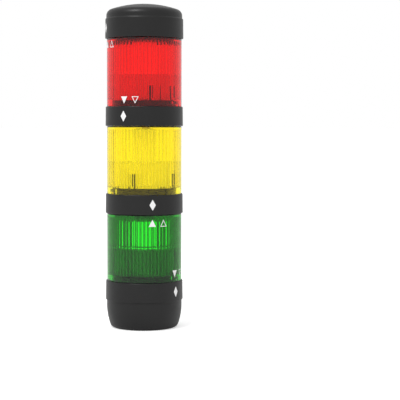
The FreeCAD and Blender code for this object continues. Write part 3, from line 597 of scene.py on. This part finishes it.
def make_cap():
    """The cap: skirt with lug tracks, stepped crown, dome, and stiffening ribs inside."""
    skirt_top = CAP_PLANE + SKIRT_HEIGHT
    outline = [(SOCKET_RADIUS, CAP_PLANE + FACE_GAP), (CAP_RADIUS, CAP_PLANE + FACE_GAP)]
    outline += crown_outline(skirt_top)
    outline += hollow_outline(skirt_top)
    outline += [
        (CAP_INNER_RADIUS, CAP_PLANE + CAP_RIB_HIGH + STEP),
        (CAP_INNER_RADIUS, CAP_PLANE + CAP_RIB_HIGH),
        (CAP_INNER_RADIUS, CAP_PLANE + CAP_RIB_LOW),
        (CAP_INNER_RADIUS, CAP_PLANE + CAP_RIB_LOW - STEP),
        (CAP_INNER_RADIUS, CAP_PLANE + SOCKET_DEPTH),
        (SOCKET_RADIUS, CAP_PLANE + SOCKET_DEPTH),
    ]
    outline += track_side(CAP_PLANE)
    bm = spun(outline, MOULDING_STEPS, CAP_ROUNDS)
    for i in range(CAP_RIB_COUNT):
        angle = CAP_MARK + 360 / CAP_RIB_COUNT * (i + 0.5)
        push(bm, CAP_INNER_RADIUS, CAP_INNER_RADIUS - CAP_RIB_REACH, CAP_PLANE + CAP_RIB_LOW,
             CAP_PLANE + CAP_RIB_HIGH, angle, CAP_RIB_ARC)
    cut_tracks(bm, CAP_PLANE, CAP_MARK, -UNLOCK_TURN)
    finished(bm, "top_cap_moulding", "cap", BLACK_PLASTIC, ("top_cap",))


def make_inner_skirt():
    """A grey sleeve that hangs from the cap's inner wall into the neck of the top lens."""
    inner = INNER_SKIRT_RADIUS - INNER_SKIRT_WALL
    outline = [
        (inner, CAP_PLANE - INNER_SKIRT_REACH),
        (INNER_SKIRT_RADIUS, CAP_PLANE - INNER_SKIRT_REACH),
        (INNER_SKIRT_RADIUS, CAP_PLANE + INNER_SKIRT_LEDGE),
        (CAP_INNER_RADIUS, CAP_PLANE + INNER_SKIRT_LEDGE),
        (CAP_INNER_RADIUS, CAP_PLANE + INNER_SKIRT_TOP),
        (inner, CAP_PLANE + INNER_SKIRT_TOP),
    ]
    bm = spun(outline, MOULDING_STEPS)
    finished(bm, "cap_inner_skirt", "cap", GREY_PLASTIC)


def make_diffuser(colour, plane, body):
    """Frosted sleeve that glows on its rim; on the yellow and red sleeves the glow is painted
    light. The green one has a dull grey band in the groove above the rim: painted shade, a part
    that does not glow put where the shadow line is.
    """
    low = plane + PEDESTAL_TOP
    rim_top = low + RIM_HEIGHT
    inner = DIFFUSER_RADIUS - DIFFUSER_WALL
    sleeve = [
        (inner, low),
        (RIM_RADIUS, low),
        (RIM_RADIUS, rim_top),
        (DIFFUSER_RADIUS, rim_top),
        (DIFFUSER_RADIUS, plane + SLEEVE_TOPS[colour]),
        (inner, plane + SLEEVE_TOPS[colour]),
    ]
    name = colour + "_diffuser"
    bm = spun(sleeve, MOULDING_STEPS, SLEEVE_ROUNDS)
    finished(bm, name + "_sleeve", body, DIFFUSERS[colour], (name,))
    if colour != "green":
        return
    # Painted shade: a grey band that does not glow marks the shadow line above the green rim.
    groove_top = rim_top + RIM_GROOVE
    band = [
        (DIFFUSER_RADIUS, rim_top),
        (RIM_RADIUS - EDGE_ROUND, rim_top),
        (RIM_RADIUS - EDGE_ROUND, groove_top),
        (DIFFUSER_RADIUS, groove_top),
    ]
    finished(spun(band, MOULDING_STEPS), name + "_painted_shade_band", body, GREY_PLASTIC)


def printed(name, body, corners, angle, radius_at, line=0.0):
    """A flat printed shape wrapped on a round surface. With a line width, only its outline."""
    bm = bmesh.new()
    shape = bm.faces.new([bm.verts.new((x, 0, z)) for x, z in corners])
    bm.normal_update()
    if line:
        bmesh.ops.inset_individual(bm, faces=[shape], thickness=line, use_even_offset=True)
        bmesh.ops.delete(bm, geom=[shape], context="FACES")
    half_width = max(x for x, z in corners)
    for i in range(1, PRINT_STRIPS):
        everything = bm.verts[:] + bm.edges[:] + bm.faces[:]
        place = half_width * (2 * i / PRINT_STRIPS - 1)
        bmesh.ops.bisect_plane(bm, geom=everything, dist=MERGE_DISTANCE, plane_co=(place, 0, 0),
                               plane_no=(1, 0, 0))
    for vert in bm.verts:
        radius = radius_at(vert.co.z) + PRINT_THICKNESS
        turn = math.radians(angle) + vert.co.x / radius
        vert.co = (radius * math.sin(turn), -radius * math.cos(turn), vert.co.z)
    bm.normal_update()
    inward = [face for face in bm.faces if face.normal.dot(face.calc_center_median()) < 0]
    bmesh.ops.reverse_faces(bm, faces=inward)
    finished(bm, name, body, PRINT_WHITE)


def ring_mark(name, body, angle, plane, radius=RING_RADIUS, height=RING_HEIGHT):
    """A diamond half way up a ring whose wall leans inwards by the draft."""
    def radius_at(z):
        return radius - DRAFT * (z - plane) / height

    wide = DIAMOND_WIDTH / 2
    tall = DIAMOND_HEIGHT / 2
    middle = plane + height / 2
    corners = [(0, middle - tall), (wide, middle), (0, middle + tall), (-wide, middle)]
    printed(name, body, corners, angle, radius_at)


def triangle(name, body, angle, edge, up, margin, line=0.0):
    """A triangle that points away from the lens, towards the ring at the edge."""
    wide = TRIANGLE_WIDTH / 2
    tip = edge - margin * up
    foot = tip - TRIANGLE_HEIGHT * up
    printed(name, body, [(-wide, foot), (wide, foot), (0, tip)], angle, lambda z: LENS_RADIUS, line)


def lens_marks(colour, body, plane, foot_mark, neck_mark, margin):
    """Filled triangles at the locked place, outlined ones at the open place."""
    top = plane + LENS_LENGTH
    name = colour + "_mark_"
    for place, line in (("locked", 0.0), ("open", TRIANGLE_LINE)):
        triangle(name + "top_" + place, body, neck_mark, top, 1, margin, line)
        triangle(name + "foot_" + place, body, foot_mark, plane, -1, margin, line)
        neck_mark += UNLOCK_TURN
        foot_mark += UNLOCK_TURN


make_lens("green", GREEN_PLANE, "green_light", BASE_MARK, YELLOW_MARK)
make_lens("yellow", YELLOW_PLANE, "yellow_light", YELLOW_MARK, RED_MARK)
make_lens("red", RED_PLANE, "red_light", RED_MARK, CAP_MARK)
make_ring("yellow", YELLOW_PLANE - RING_HEIGHT, "yellow_module", YELLOW_MARK)
make_ring("red", RED_PLANE - RING_HEIGHT, "red_module", RED_MARK)
make_collar()
lens_marks("green", "green_light", GREEN_PLANE, BASE_PRINT, YELLOW_PRINT, DEEP_MARGIN)
lens_marks("red", "red_light", RED_PLANE, RED_MARK, CAP_MARK, TRIANGLE_MARGIN)
make_cap()
make_inner_skirt()
make_diffuser("green", GREEN_PLANE, "base")
make_diffuser("yellow", YELLOW_PLANE, "yellow_module")
make_diffuser("red", RED_PLANE, "red_module")
ring_mark("base_mark", "base", BASE_PRINT, COLLAR_PLANE)
ring_mark("yellow_ring_mark", "yellow_module", YELLOW_PRINT, YELLOW_PLANE - RING_HEIGHT)
ring_mark("red_ring_mark", "red_module", RED_MARK, RED_PLANE - RING_HEIGHT)
ring_mark("cap_mark", "cap", CAP_MARK, CAP_PLANE, CAP_RADIUS, SKIRT_HEIGHT)

# Materials of the nodes that keep their own shape
NODE_MATERIALS = {
    "black_plastic": BLACK_PLASTIC,
    "white_plastic": WHITE_PLASTIC,
    "grey_plastic": GREY_PLASTIC,
    "circuit_board": CIRCUIT_BOARD,
    "led_chip": LED_CHIP,
    "copper": COPPER,
    "steel": STEEL,
    "rubber": RUBBER,
}
for subpart in frame["record"]["subparts"]:
    node = subpart["node"]
    slot_name = subpart["material_slot"]
    if node.endswith("_led_carrier"):
        finish = CARRIERS[node.split("_")[0]]
    elif slot_name in NODE_MATERIALS:
        finish = NODE_MATERIALS[slot_name]
    else:
        continue
    mesh = frame["nodes"][node].data
    mesh.materials.clear()
    mesh.materials.append(finish)


# Floor, background, light and camera, in metres

FLOOR_RADIUS = 30.0
FLOOR_SIDES = 64
FLOOR_TONE = 0.9
FLOOR_ROUGHNESS = 0.8
FLOOR_LIFT = 0.45
WORLD_LIGHT = 0.79
WORLD_SEEN = 1.0
CAMERA_DISTANCE = 0.9019
CAMERA_HEIGHT = 0.1385
CAMERA_PITCH = 3.31
CAMERA_YAW = 2.395
CAMERA_ROLL = -0.13
FOCAL_PIXELS = 1329.1
PICTURE_PIXELS = 400
SENSOR_WIDTH = 36.0


def seen_directly(tree):
    """One for what the camera sees, also through a lens."""
    path = tree.nodes.new("ShaderNodeLightPath")
    return larger_of(tree, path.outputs["Is Camera Ray"], path.outputs["Is Transmission Ray"])


def make_floor():
    """A pale round floor that the camera sees brighter than it lights the tower."""
    bm = bmesh.new()
    bmesh.ops.create_circle(bm, cap_ends=True, segments=FLOOR_SIDES, radius=FLOOR_RADIUS)
    mesh = bpy.data.meshes.new("floor")
    bm.to_mesh(mesh)
    bm.free()
    floor = bpy.data.objects.new("floor", mesh)
    bpy.context.scene.collection.objects.link(floor)
    material, tree, shader = new_material("floor")
    shader.inputs["Base Color"].default_value = (FLOOR_TONE, FLOOR_TONE, FLOOR_TONE, 1)
    shader.inputs["Roughness"].default_value = FLOOR_ROUGHNESS
    shader.inputs["Specular IOR Level"].default_value = 0.0
    shader.inputs["Emission Color"].default_value = (1, 1, 1, 1)
    lift = remap(tree, seen_directly(tree), 0.0, FLOOR_LIFT)
    tree.links.new(lift, shader.inputs["Emission Strength"])
    mesh.materials.append(material)


def make_world():
    """White all round, a little weaker as light than as background."""
    world = bpy.data.worlds.new("studio")
    bpy.context.scene.world = world
    world.use_nodes = True
    tree = world.node_tree
    background = tree.nodes["Background"]
    background.inputs["Color"].default_value = (1, 1, 1, 1)
    strength = remap(tree, seen_directly(tree), WORLD_LIGHT, WORLD_SEEN)
    tree.links.new(strength, background.inputs["Strength"])


def make_lamp(name, place, target, size, energy):
    """A square lamp that faces its target."""
    light = bpy.data.lights.new(name, "AREA")
    light.size = size
    light.energy = energy
    lamp = bpy.data.objects.new(name, light)
    lamp.location = place
    lamp.rotation_euler = (Vector(target) - Vector(place)).to_track_quat("-Z", "Y").to_euler()
    bpy.context.scene.collection.objects.link(lamp)


def make_camera():
    """The camera at the photograph's distance, height and angle."""
    data = bpy.data.cameras.new("camera")
    data.sensor_fit = "HORIZONTAL"
    data.sensor_width = SENSOR_WIDTH
    data.lens = FOCAL_PIXELS / PICTURE_PIXELS * SENSOR_WIDTH
    data.clip_start = 0.01
    data.clip_end = 100.0
    camera = bpy.data.objects.new("camera", data)
    camera.location = (0, -CAMERA_DISTANCE, CAMERA_HEIGHT)
    camera.rotation_euler = (math.radians(90 - CAMERA_PITCH), math.radians(CAMERA_ROLL),
                             math.radians(-CAMERA_YAW))
    bpy.context.scene.collection.objects.link(camera)
    bpy.context.scene.camera = camera


make_floor()
make_world()
make_lamp("key", place=(-0.45, -0.62, 1.1), target=(0, 0, 0.11), size=0.45, energy=6.0)
make_camera()
bpy.context.scene.view_settings.view_transform = "Standard"
